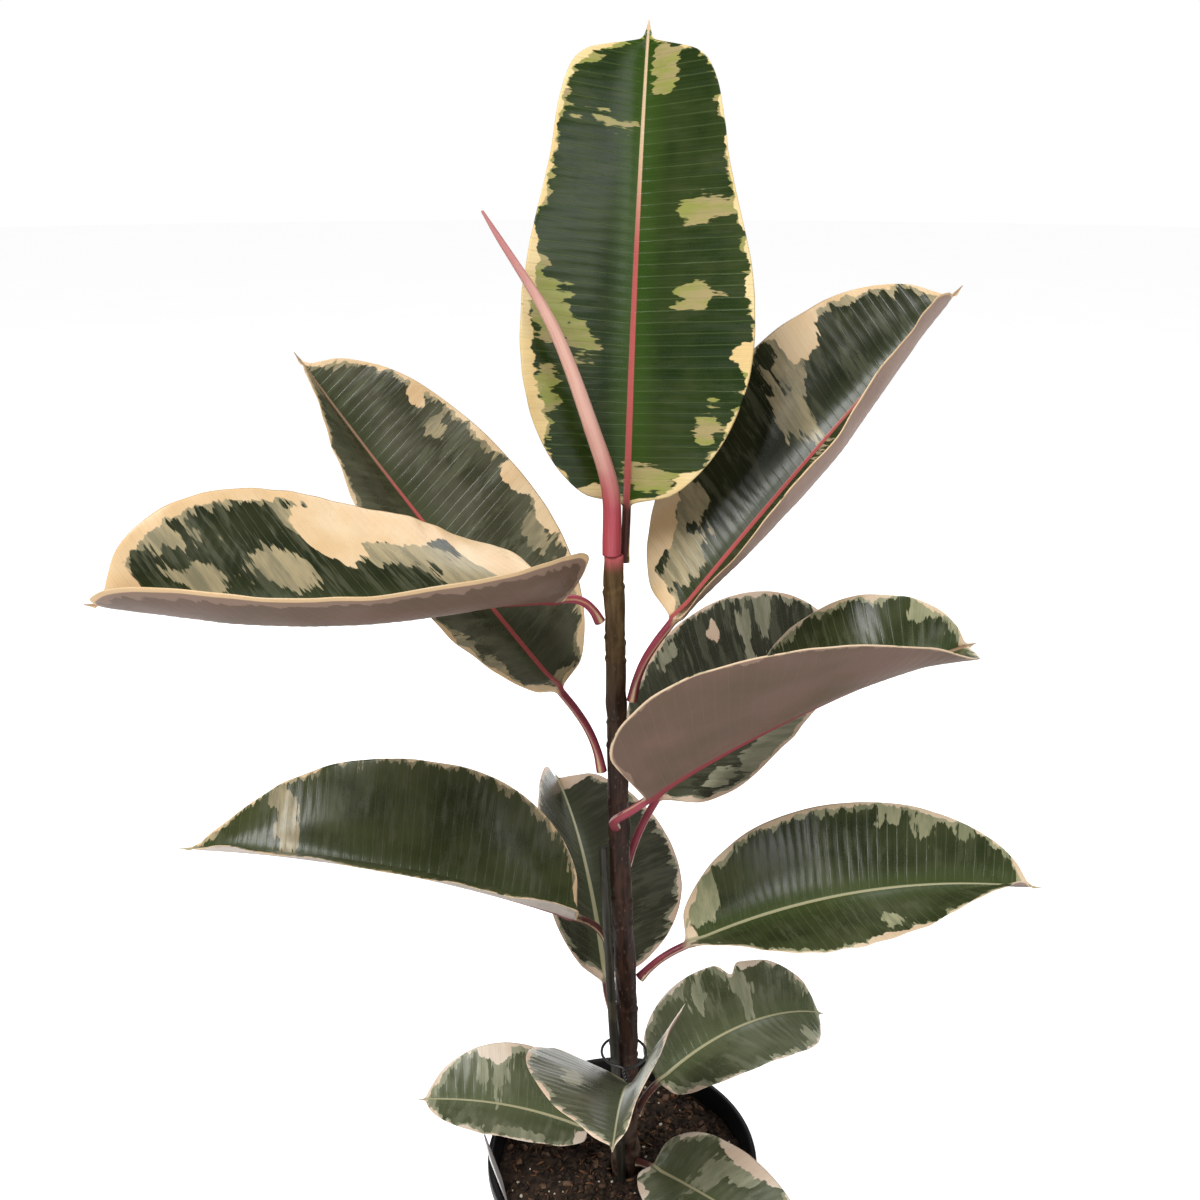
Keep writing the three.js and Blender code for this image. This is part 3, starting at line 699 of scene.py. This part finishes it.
LEAVES = dict(
    leaf_top=dict(
        VIVID | RED_RIB, seed=1, border=1.2, band=0.5, lean=0.06, mottle=0.3,
        rib2=rgb(0.5, 0.36, 0.22),
        waists=[(0.66, 0.12, -0.12, 0), (0.9, 0.07, 0.16, 0), (0.97, 0.02, 0.2, 0)],
        cream=[(0.13, 0.88, 32, 10), (0.3, 1.0, 30, 8), (0.52, 0.98, 26, 7), (0.01, 0.35, 9, 24),
               (0.16, -0.95, 18, 8), (0.05, -0.6, 9, 16), (0.34, -0.96, 6, 7), (0.48, -1.0, 12, 5),
               (0.0, -0.1, 5, 16)],
        grey=[(0.42, 0.72, 15, 11), (0.36, 0.5, 9, 12), (0.49, 0.9, 14, 7), (0.2, 0.76, 20, 6),
              (0.46, -0.5, 7, 11), (0.64, -0.6, 8, 13), (0.74, -0.82, 14, 5), (0.91, -0.2, 12, 8),
              (0.06, -0.24, 6, 15), (0.19, -0.66, 9, 7), (0.8, 0.3, 2, 9)]),
    leaf_left_trough=dict(
        OLIVE | RED_STALK | RED_RIB, seed=2, border=6, lean=0.75, rim=2.4,
        under=rgb(0.11, 0.064, 0.046),
        cream=[(0.42, -0.86, 34, 17), (0.52, -0.62, 15, 16), (0.1, -0.6, 26, 34), (0.97, -0.3, 14, 30),
               (0.3, -0.9, 24, 14)],
        grey=[(0.36, -0.5, 34, 9), (0.62, -0.32, 16, 9), (0.77, -0.22, 18, 8), (0.84, -0.52, 16, 5),
              (0.55, -0.7, 14, 12), (0.2, -0.3, 20, 14)]),
    leaf_upper_right=dict(
        OLIVE | RED_STALK | RED_RIB, seed=3, border=2.2, lean=0.3,
        under=rgb(0.26, 0.175, 0.138), under2=rgb(0.2, 0.13, 0.1),
        cream=[(0.1, 0.85, 38, 26), (0.7, 0.88, 12, 20), (0.0, 0.3, 14, 20), (0.86, 0.98, 20, 6),
               (0.89, 0.72, 3, 7), (0.3, 0.98, 20, 8)],
        grey=[(0.54, 0.34, 8, 24), (0.61, 0.62, 8, 14), (0.14, 0.3, 18, 12), (0.22, 0.52, 16, 9)]),
    # The upper left leaf's paler grey-green and its full mottle are partly its own mottling and partly a
    # painted sheen.
    leaf_upper_left=dict(
        OLIVE | RED_STALK | RED_RIB, seed=4, border=2.6, lean=0.2, mottle=1.0,
        green=rgb(0.04, 0.04, 0.021), green2=rgb(0.08, 0.078, 0.048),
        cream=[(0.76, -0.66, 7, 5), (0.47, -0.94, 14, 7), (0.33, -0.96, 12, 7), (0.12, -0.92, 16, 6),
               (0.03, 0.5, 8, 16), (0.62, -0.99, 16, 5)],
        grey=[(0.33, -0.75, 12, 7), (0.66, -0.6, 6, 5), (0.1, 0.62, 14, 8), (0.2, 0.75, 10, 7),
              (0.93, 0.2, 12, 8)]),
    leaf_right=dict(
        FRESH | RED_STALK | RED_RIB, seed=5, border=1.2, lean=0.3,
        cream=[(0.72, 1.0, 10, 4), (0.97, 0.1, 6, 8)], grey=[(0.87, 0.45, 11, 7), (0.8, 0.7, 5, 6)]),
    leaf_right_back=dict(
        SHADED | RED_STALK | RED_RIB, seed=6, border=2.6, lean=0.25, mottle=0.8,
        cream=[(0.47, 0.72, 5, 7), (0.18, 0.56, 4, 5), (0.62, 0.98, 16, 5)],
        grey=[(0.57, 0.5, 5, 20), (0.66, 0.62, 6, 20), (0.28, -0.78, 36, 13), (0.12, -0.5, 8, 12),
              (0.5, -0.9, 20, 10), (0.3, 0.85, 10, 5)]),
    leaf_lower_left=dict(
        OLIVE, seed=7, border=1.0, lean=0.12, mottle=0.5,
        green=rgb(0.03, 0.036, 0.011), green2=rgb(0.06, 0.068, 0.024), inner=rgb(0.045, 0.06, 0.02),
        under=rgb(0.4, 0.34, 0.29), under2=rgb(0.3, 0.25, 0.21),
        cream=[(0.14, -0.97, 24, 8), (0.0, -0.2, 8, 12)],
        grey=[(0.74, -0.22, 6, 20), (0.79, -0.55, 7, 9)]),
    leaf_lower_right=dict(
        FRESH | RED_STALK, seed=8, rib_half=1.2, border=1.8, lean=0.16, mottle=0.5,
        cream=[(0.12, 0.95, 26, 7), (0.28, 1.0, 22, 6), (0.6, -0.96, 26, 6), (0.02, 0.0, 5, 12),
               (0.93, 0.5, 12, 5)],
        grey=[(0.08, 0.4, 13, 16), (0.71, 0.66, 6, 11), (0.63, 0.8, 7, 6), (0.56, -0.62, 7, 9),
              (0.82, 0.6, 8, 6)]),
    leaf_back=dict(
        SHADED, seed=9, border=2.4, lean=0.2, cream=[(0.93, -0.3, 12, 24), (0.85, -0.9, 12, 8)],
        grey=[(0.75, -0.6, 12, 8)]),
    leaf_foot_front=dict(
        DUSTY, seed=10, rib_half=1.0, border=0.9, lean=0.15, cream=[(0.5, 0.85, 30, 8)],
        grey=[(0.5, -0.5, 14, 6), (0.7, 0.5, 16, 8)]),
    leaf_foot_right=dict(
        SOFT, seed=11, rib_half=1.0, border=0.8, lean=0.15, mottle=0.8,
        waists=[(0.53, 0.022, -0.2, 1), (0.68, 0.06, 0.05, 1)],
        cream=[(0.64, 0.98, 13, 9)], grey=[(0.56, 0.5, 5, 15), (0.37, 0.65, 6, 8), (0.8, -0.5, 8, 6)]),
    leaf_foot_left=dict(
        SOFT, seed=12, rib_half=1.0, border=1.1, lean=0.15, mottle=0.8,
        cream=[(0.62, -0.86, 9, 8), (0.05, 0.4, 6, 12), (0.86, -0.7, 5, 5)],
        grey=[(0.56, -0.4, 4, 14), (0.66, -0.5, 4, 12), (0.4, 0.8, 20, 5)]),
    leaf_foot_low=dict(
        SOFT, seed=13, rib_half=1.0, border=1.2, lean=0.15,
        cream=[(0.42, 0.95, 22, 8), (0.1, -0.8, 10, 7)], grey=[(0.3, 0.3, 7, 16), (0.42, 0.68, 9, 9)]),
)
for name, look in LEAVES.items():
    leaf_piece(name, USUAL | look)

# %% [markdown]
# ## The stem
# The stem is olive where it is young, at the top, and turns dark brown and woody below. A ring scar marks
# every joint where a leaf sits or has sat, with a short swelling under it. Fine cracks and pale corky dots
# cover the old part.

# %% Stem
STEM_SIDES = 48
SCARS = (182, 214, 226, 262, 322, 338, 376, 404, 437, 452, 489, 500, 529)


def turns_of(sides):
    """The angles of that many points round a ring."""
    return np.arange(sides) / sides * 2 * np.pi


def fine_tube(node, sides, step):
    """A round CAD tube's rings taken finer, from the lower end up."""
    rings = rings_of(node)
    if rings[0].mean(0)[2] > rings[-1].mean(0)[2]:
        rings = rings[::-1, ::-1]
    centre = rings.mean(1)
    length = np.concatenate([[0], np.cumsum(np.linalg.norm(np.diff(centre, axis=0), axis=1))])
    places = np.interp(np.arange(0, length[-1], step), length, np.arange(len(rings)))
    places = np.append(places, len(rings) - 1)
    rows = flowing(rings, places)
    turns = np.arange(sides) / sides * rings.shape[1]
    return np.swapaxes(flowing(np.swapaxes(rows, 0, 1), turns, closed=True), 0, 1)


rings = fine_tube("stem", STEM_SIDES, 1.2 * MM)
normals = outward(rings)
height = rings[..., 2] / MM
turn = np.broadcast_to(turns_of(STEM_SIDES), height.shape)
old = ease((520 - height) / 260)
cracks = waves(3 * np.cos(turn) + 9, height / 9 + 3 * np.sin(turn), 31) * 0.12 * old
lumps = waves(np.cos(turn) * 1.3, height / 17 + np.sin(turn) * 1.3, 32) * 0.5
scars = np.zeros(height.shape)
for at in SCARS:
    tilt = height - at - 1.6 * np.sin(turn + at)
    scars += 0.55 * bell(tilt, 1.1) - 0.35 * bell(tilt - 2.4, 1.0)
rings = rings + normals * ((cracks + lumps + scars) * MM)[..., None]

bark = Finish("bark", Specular_IOR_Level=0.22)
where = bark.place()
level = bark.node("ShaderNodeSeparateXYZ", sockets={"Vector": where}, out=2)
streaks = bark.grain(bark.stretched(where, (420, 420, 60)), 1.0, 3.0, 0.6)
blotch = bark.grain(where, 70.0, 3.0)
young = (level + (blotch - 0.5) * 0.05).between(0.44, 0.5)
base = streaks.between(0.35, 0.65).mix(rgb(0.014, 0.0055, 0.0035), rgb(0.042, 0.018, 0.011))
fresh = streaks.between(0.3, 0.7).mix(rgb(0.05, 0.026, 0.008), rgb(0.095, 0.056, 0.02))
wood = young.mix(base, fresh)
foot = 1 - level.between(0.14, 0.2)
wood = (foot * blotch.between(0.35, 0.65)).mix(wood, rgb(0.21, 0.15, 0.11))
cells = bark.stretched(where, (300, 300, 170))
corks = bark.node("ShaderNodeTexVoronoi", sockets={"Vector": cells, "Scale": 1.0})
dots = 1 - corks.between(0.1, 0.26)
wood = (dots * 0.3).mix(wood, rgb(0.13, 0.1, 0.07))
red = level.between(0.538, 0.55)
wood = red.mix(wood, rgb(0.36, 0.07, 0.075))
rough = 0.45 + streaks * 0.3 - red * 0.12
piece_of("stem_bark", skin(rings), bark.set(wood, rough, streaks + dots * 0.6 + blotch * 0.4, 0.6, 0.5 * MM),
         ["stem"])
print("stem rows", len(rings))

# %% [markdown]
# ## The new leaf in its sheath
# The growing tip is a long rolled leaf inside a thin rosy sheath. The sheath's free edge winds once round
# it, and faint lines run its length. It is red at the foot, cream in the middle and rose at the tip.

# %% Bud
BUD_SIDES = 40
rings = fine_tube("bud_sheath", BUD_SIDES, 1.0 * MM)
normals = outward(rings)
rows = np.linspace(0, 1, len(rings))[:, None]
turn = turns_of(BUD_SIDES)[None]
wind = (turn - 2.2 * np.pi * rows * 0.55 + 0.8) % (2 * np.pi)
lap = 0.55 * ease(wind / 0.35) * (1 - wind / (2 * np.pi)) * ease((1 - rows) / 0.1) * ease(rows / 0.04)
ribs = 0.07 * np.cos(9 * turn + 6 * rows)
rings = rings + normals * ((lap + ribs) * MM)[..., None]
sheath = Finish("sheath_skin", Specular_IOR_Level=0.35, Coat_Weight=0.1, Coat_Roughness=0.3)
share = sheath.attribute("share")
where = sheath.place()
lines = sheath.grain(sheath.vector(share * 6, sheath.attribute("round") * 9), 1.0, 3.0)
cloud = sheath.grain(where, 45.0, 2.0)
foot_to_cream = (share + (cloud - 0.5) * 0.2).between(0.1, 0.42)
skin_colour = foot_to_cream.mix(rgb(0.34, 0.045, 0.062), rgb(0.56, 0.33, 0.26))
skin_colour = (share + (cloud - 0.5) * 0.3).between(0.62, 0.95).mix(skin_colour, rgb(0.4, 0.16, 0.15))
skin_colour = (lines.between(0.45, 0.75) * 0.35).mix(skin_colour, rgb(0.45, 0.12, 0.13))
facts = {"share": np.broadcast_to(rows, rings.shape[:2]),
         "round": np.broadcast_to(np.cos(turn / 2), rings.shape[:2])}
rosy = sheath.set(skin_colour, 0.34 + lines * 0.14, lines, 0.3, 0.3 * MM)
piece_of("bud", skin(rings, facts), rosy, ["bud_sheath"])
print("bud rows", len(rings))

# %% [markdown]
# ## Cane, tie and label
# The cane is a thin split cane dyed dark green, with joints every hand's breadth. The tie is a black coated
# wire, drawn round stem and cane and twisted at the ends. The label is a blank white plastic tag.

# %% Cane
CANE_SIDES = 28
CANE_JOINTS = (168, 243, 321)
rings = fine_tube("support_cane", CANE_SIDES, 1.5 * MM)
normals = outward(rings)
height = rings[..., 2] / MM
turn = np.broadcast_to(turns_of(CANE_SIDES), height.shape)
joints = sum(0.5 * bell(height - at, 1.5) - 0.2 * bell(height - at - 2.6, 1.2) for at in CANE_JOINTS)
grooves = 0.08 * np.cos(7 * turn) + 0.1 * waves(np.cos(turn) * 2, height / 22, 41)
rings = rings + normals * ((joints + grooves) * MM)[..., None]
dye = Finish("cane_dye", Specular_IOR_Level=0.4)
where = dye.place()
fibre = dye.grain(dye.stretched(where, (900, 900, 35)), 1.0, 3.0, 0.6)
worn = dye.grain(where, 60.0, 3.0).between(0.56, 0.7)
dyed = fibre.between(0.3, 0.7).mix(rgb(0.012, 0.01, 0.007), rgb(0.032, 0.028, 0.018))
dyed = (worn * 0.5).mix(dyed, rgb(0.09, 0.075, 0.045))
piece_of("cane", skin(rings), dye.set(dyed, 0.5 + fibre * 0.2, fibre, 0.4, 0.3 * MM),
         ["support_cane"])


# %% Wire tie
LOOP_POINTS, TWIST_POINTS, WIRE_POINTS = 90, 40, 420
WIRE_GAP = 0.18
TWISTS = 2.75


def wire_rings(points, radius, sides=12):
    """Round rings along a line of points, each turned as little as it can be from the one before."""
    points = np.asarray(points, float)
    tangents = np.gradient(points, axis=0)
    tangents /= np.linalg.norm(tangents, axis=1, keepdims=True)
    side = Vector(tangents[0]).orthogonal().normalized()
    rows = []
    angles = turns_of(sides)
    for point, tangent in zip(points, tangents):
        tangent = Vector(tangent)
        side = (side - tangent * side.dot(tangent)).normalized()
        other = tangent.cross(side)
        rows.append(point + radius * (np.outer(np.cos(angles), side) + np.outer(np.sin(angles), other)))
    return np.array(rows)


low, high = (np.array(corner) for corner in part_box("wire_tie"))
middle = (low + high) / 2
loop_radius = (high[0] - low[0]) / 2 - 1.0 * MM
turns = np.linspace(-math.pi / 2 + WIRE_GAP, 1.5 * math.pi - WIRE_GAP, LOOP_POINTS)
loop = np.stack([np.cos(turns), np.sin(turns), np.zeros(LOOP_POINTS)], 1) * loop_radius + middle
loop[:, 2] += np.linspace(-0.6, 0.6, LOOP_POINTS) * MM
twist = np.linspace(0, 1, TWIST_POINTS)[:, None]
start = middle + np.array([0, -loop_radius - 1.6 * MM, 0])


def twisted_end(begin):
    """One end of the wire, winding away from the loop from the angle begin."""
    angle = twist * 2 * TWISTS * math.pi + begin
    spiral = np.concatenate([np.cos(angle), np.zeros_like(angle), np.sin(angle)], 1) * 1.0 * MM
    return start + np.array([0.002, -0.010, -0.004]) * twist + spiral


route = np.concatenate([twisted_end(math.pi)[::-1], loop, twisted_end(0)])
smooth_route = flowing(route, np.linspace(0, len(route) - 1, WIRE_POINTS))
for _ in range(12):
    smooth_route[1:-1] = (smooth_route[:-2] + 2 * smooth_route[1:-1] + smooth_route[2:]) / 4
coat = Finish("wire_coat", Specular_IOR_Level=0.5)
grit = coat.grain(coat.place(), 1500.0, 2.0)
black = grit.mix(rgb(0.006, 0.006, 0.007), rgb(0.02, 0.02, 0.022))
black_coat = coat.set(black, 0.3 + grit * 0.2, grit, 0.2, 0.1 * MM)
piece_of("tie", skin(wire_rings(smooth_route, 0.8 * MM)), black_coat, ["wire_tie"])

# %% Label
form = bmesh.new()
form.from_mesh(nodes["plant_label"].data)
bmesh.ops.remove_doubles(form, verts=form.verts, dist=WELD)
bmesh.ops.dissolve_limit(form, angle_limit=math.radians(2), verts=form.verts, edges=form.edges)
sharp = [edge for edge in form.edges if edge.calc_face_angle(0) > math.radians(60)]
bmesh.ops.bevel(form, geom=sharp, affect="EDGES", offset=0.22 * MM, segments=3, profile=0.5, material=-1)
bmesh.ops.recalc_face_normals(form, faces=form.faces)
plastic = Finish("tag_white", Specular_IOR_Level=0.5)
mottle = plastic.grain(plastic.place(), 60.0, 4.0)
fine = plastic.grain(plastic.place(), 1200.0, 2.0)
white = mottle.mix(rgb(0.6, 0.57, 0.56), rgb(0.74, 0.72, 0.7))
piece_of("label", form, plastic.set(white, 0.35 + mottle * 0.2, fine, 0.15, 0.1 * MM),
         ["plant_label"])
print("cane, tie and label made")

# %% [markdown]
# ## The pot
# A thin-walled nursery pot: one profile spun round the middle. Its rim is a thickened band with a rounded
# lip. The eight drainage holes are cut with a Boolean modifier, as a drill would.

# %% Pot
POT_SIDES = 128
low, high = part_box("pot")
radius, tall = (high.x - low.x) / 2 / MM, (high.z - low.z) / MM
FOOT, WALL, FLOOR = 61.0, 1.8, 2.5
HOLES, HOLE_CIRCLE, HOLE_RADIUS = 8, 40, 4.5


def wall_at(z):
    """The wall's outer radius at a height, both in mm."""
    return FOOT + (radius - 2.4 - FOOT) * z / tall


profile = [
    (0.0, 0.0), (30, 0.0), (FOOT - 4.0, 0.0), (FOOT - 1.2, 0.05), (FOOT - 0.35, 0.4), (FOOT, 1.3),
    *[(wall_at(z), z) for z in range(6, 140, 6)],
    (wall_at(140.6), 140.6), (wall_at(141) + 0.5, 141.0), (radius - 0.7, 141.5), (radius - 0.2, 142.2),
    (radius, 143.4), (radius, 148.4), (radius - 0.25, 149.3), (radius - 0.85, 149.85), (radius - 1.6, tall),
    (radius - 2.6, tall), (radius - 3.3, 149.7), (radius - 3.7, 149.0), (wall_at(142) - WALL, 141.4),
    (wall_at(139) - WALL, 139.0), (wall_at(136) - WALL, 136.0), (wall_at(70) - WALL, 70.0),
    (wall_at(6) - WALL, 6.0), (wall_at(3.4) - WALL - 0.9, 3.4), (wall_at(FLOOR) - WALL - 3.0, FLOOR),
    (30, FLOOR), (0.0, FLOOR),
]
form = bmesh.new()
line = [form.verts.new((r * MM, 0, z * MM)) for r, z in profile]
edges = [form.edges.new(pair) for pair in zip(line, line[1:])]
bmesh.ops.spin(form, geom=line + edges, axis=(0, 0, 1), cent=(0, 0, 0), angle=2 * math.pi, steps=POT_SIDES,
               use_merge=True)
bmesh.ops.remove_doubles(form, verts=form.verts, dist=WELD)
bmesh.ops.recalc_face_normals(form, faces=form.faces)
moulded = Finish("moulded_black", Specular_IOR_Level=0.2)
where = moulded.place()
orange = moulded.grain(where, 650.0, 2.0)
flow = moulded.grain(moulded.stretched(where, (14, 14, 160)), 1.0, 3.0)
dust = moulded.grain(where, 38.0, 4.0).between(0.5, 0.75)
shell = flow.mix(rgb(0.006, 0.006, 0.0065), rgb(0.012, 0.012, 0.0125))
shell = (dust * 0.2).mix(shell, rgb(0.06, 0.05, 0.042))
black_plastic = moulded.set(shell, 0.36 + orange * 0.12 + dust * 0.25, orange, 0.25, 0.15 * MM)
pot = piece_of("pot_shell", form, black_plastic, ["pot"])
form = bmesh.new()
for k in range(HOLES):
    angle = (k + 0.5) * math.pi / (HOLES / 2)
    x, y = HOLE_CIRCLE * MM * math.cos(angle), HOLE_CIRCLE * MM * math.sin(angle)
    bmesh.ops.create_cone(form, cap_ends=True, segments=28, radius1=HOLE_RADIUS * MM,
                          radius2=HOLE_RADIUS * MM, depth=12 * MM, matrix=Matrix.Translation((x, y, 0)))
drill = object_of("drill", form)
cut = pot.modifiers.new("holes", "BOOLEAN")
cut.object, cut.operation, cut.solver = drill, "DIFFERENCE", "EXACT"
bpy.context.view_layer.update()
cut_mesh = bpy.data.meshes.new_from_object(pot.evaluated_get(bpy.context.evaluated_depsgraph_get()))
pot.modifiers.clear()
pot.data = cut_mesh
bpy.data.objects.remove(drill)
print("pot faces", len(pot.data.polygons))

# %% [markdown]
# ## Potting mix
# Peat, bark and coir with a few white grains. One lumpy skin gives the surface, closed round the stem and
# down the pot's wall. Several hundred crumbs and slivers lie on it, each a low many-sided lump turned its
# own way.

# %% Soil surface
SOIL_LEVEL = 137.0
SOIL_FLOOR = 2.8
SOIL_SIDES = 220
SOIL_GAP = 0.5
STEM_HOLE = 10.2
STEM_FOOT = 95.2
RIPPLES = 63


def soil_height(x, y):
    """Height of the mix in mm."""
    far = math.hypot(x, y) / 80
    lumps = 2.2 * noise.noise((x / 17, y / 17, 3)) + 1.6 * noise.noise((x / 6, y / 6, 8))
    fine = 0.9 * noise.noise((x / 2.4, y / 2.4, 5))
    return SOIL_LEVEL + 2.0 * (1 - far * far) + lumps + fine


inner = rings_of("stem")[0].mean(0)[:2] / MM
angles = turns_of(SOIL_SIDES)
rows = []


def soil_row(radius, z=None, centre=(0.0, 0.0)):
    """Adds a ring of the mix's skin at height z, or without z one that lies on its rough surface."""
    x, y = centre[0] + radius * np.cos(angles), centre[1] + radius * np.sin(angles)
    heights = [soil_height(a, b) if z is None else z for a, b in zip(x, y)]
    rows.append(np.stack([x, y, heights], 1) * MM)


edge = wall_at(SOIL_LEVEL) - WALL - SOIL_GAP
for reach, z in ((0.5, STEM_FOOT), (7.6, STEM_FOOT), (9.6, 120.0), (STEM_HOLE, 133.0)):
    soil_row(reach, z, inner)
for k in range(1, RIPPLES + 1):
    share = k / RIPPLES
    soil_row(STEM_HOLE + (edge - STEM_HOLE) * share, None, inner * (1 - share))
soil_row(wall_at(120) - WALL - SOIL_GAP, 120.0)
soil_row(wall_at(8) - WALL - 0.6, 8.0)
soil_row(wall_at(3) - WALL - 4.2, SOIL_FLOOR)
soil_row(1.0, SOIL_FLOOR)
peat = Finish("peat", Specular_IOR_Level=0.2)
where = peat.place()
clods = peat.grain(where, 160.0, 4.0, 0.65)
fibres = peat.grain(where, 520.0, 3.0, 0.7, 1.5)
brown = clods.between(0.35, 0.65).mix(rgb(0.011, 0.007, 0.005), rgb(0.045, 0.028, 0.018))
brown = (fibres.between(0.6, 0.72) * 0.7).mix(brown, rgb(0.15, 0.075, 0.035))
peat_finish = peat.set(brown, 0.8 + clods * 0.15, clods + fibres * 0.7, 0.9, 1.2 * MM)
piece_of("potting_mix", skin(np.array(rows)), peat_finish, ["soil"])

# %% Crumbs
SPREAD = 77
draw = random.Random(7)


def crumbs(name, count, size, flat, finish, lift):
    """count small lumps lying on the mix. size is the range of radii in mm, flat how they are squashed and
    lift how far each is raised, as a share of its height."""
    form = bmesh.new()
    made = 0
    while made < count:
        x, y = draw.uniform(-SPREAD, SPREAD), draw.uniform(-SPREAD, SPREAD)
        big = draw.uniform(*size)
        stretch = [big * f for f in flat]
        clear = math.hypot(x - inner[0], y - inner[1]) > STEM_HOLE + 0.3 + big
        if math.hypot(x, y) > SPREAD + 0.5 - max(stretch) or not clear:
            continue
        turn = Matrix.Rotation(draw.uniform(0, math.tau), 4, "Z")
        turn = turn @ Matrix.Rotation(draw.gauss(0, 0.35), 4, "X")
        spot = Matrix.Translation(Vector((x, y, soil_height(x, y) + lift * stretch[2])) * MM)
        shape = Matrix.Diagonal((*(side * MM for side in stretch), 1))
        lump = bmesh.ops.create_icosphere(form, subdivisions=1, radius=1, matrix=spot @ turn @ shape)
        for vert in lump["verts"]:
            vert.co += Vector((draw.gauss(0, 1), draw.gauss(0, 1), draw.gauss(0, 1))) * big * 0.13 * MM
        made += 1
    bmesh.ops.recalc_face_normals(form, faces=form.faces)
    piece_of(name, form, finish)


def crumb_finish(name, dark, pale):
    finish = Finish(name, Specular_IOR_Level=0.2)
    clump = finish.grain(finish.place(), 220.0, 3.0, 0.6)
    return finish.set(clump.between(0.35, 0.65).mix(dark, pale), 0.75 + clump * 0.2, clump, 0.7, 0.6 * MM)


peat_lump = crumb_finish("peat_lump", rgb(0.012, 0.008, 0.006), rgb(0.05, 0.032, 0.02))
coir = crumb_finish("coir", rgb(0.07, 0.03, 0.014), rgb(0.2, 0.095, 0.045))
bark_chip = crumb_finish("bark_chip", rgb(0.05, 0.028, 0.017), rgb(0.15, 0.09, 0.055))
grit_white = crumb_finish("grit", rgb(0.35, 0.3, 0.2), rgb(0.62, 0.58, 0.48))
crumbs("peat_crumbs", 900, (0.8, 2.4), (1, 0.85, 0.7), peat_lump, 0.3)
crumbs("coir_bits", 420, (0.7, 1.5), (2.6, 0.5, 0.4), coir, 0.8)
crumbs("bark_bits", 90, (1.6, 3.4), (1.4, 0.8, 0.45), bark_chip, 0.5)
crumbs("pale_grains", 70, (0.5, 1.5), (1, 0.9, 0.8), grit_white, 0.5)
print("crumbs made")
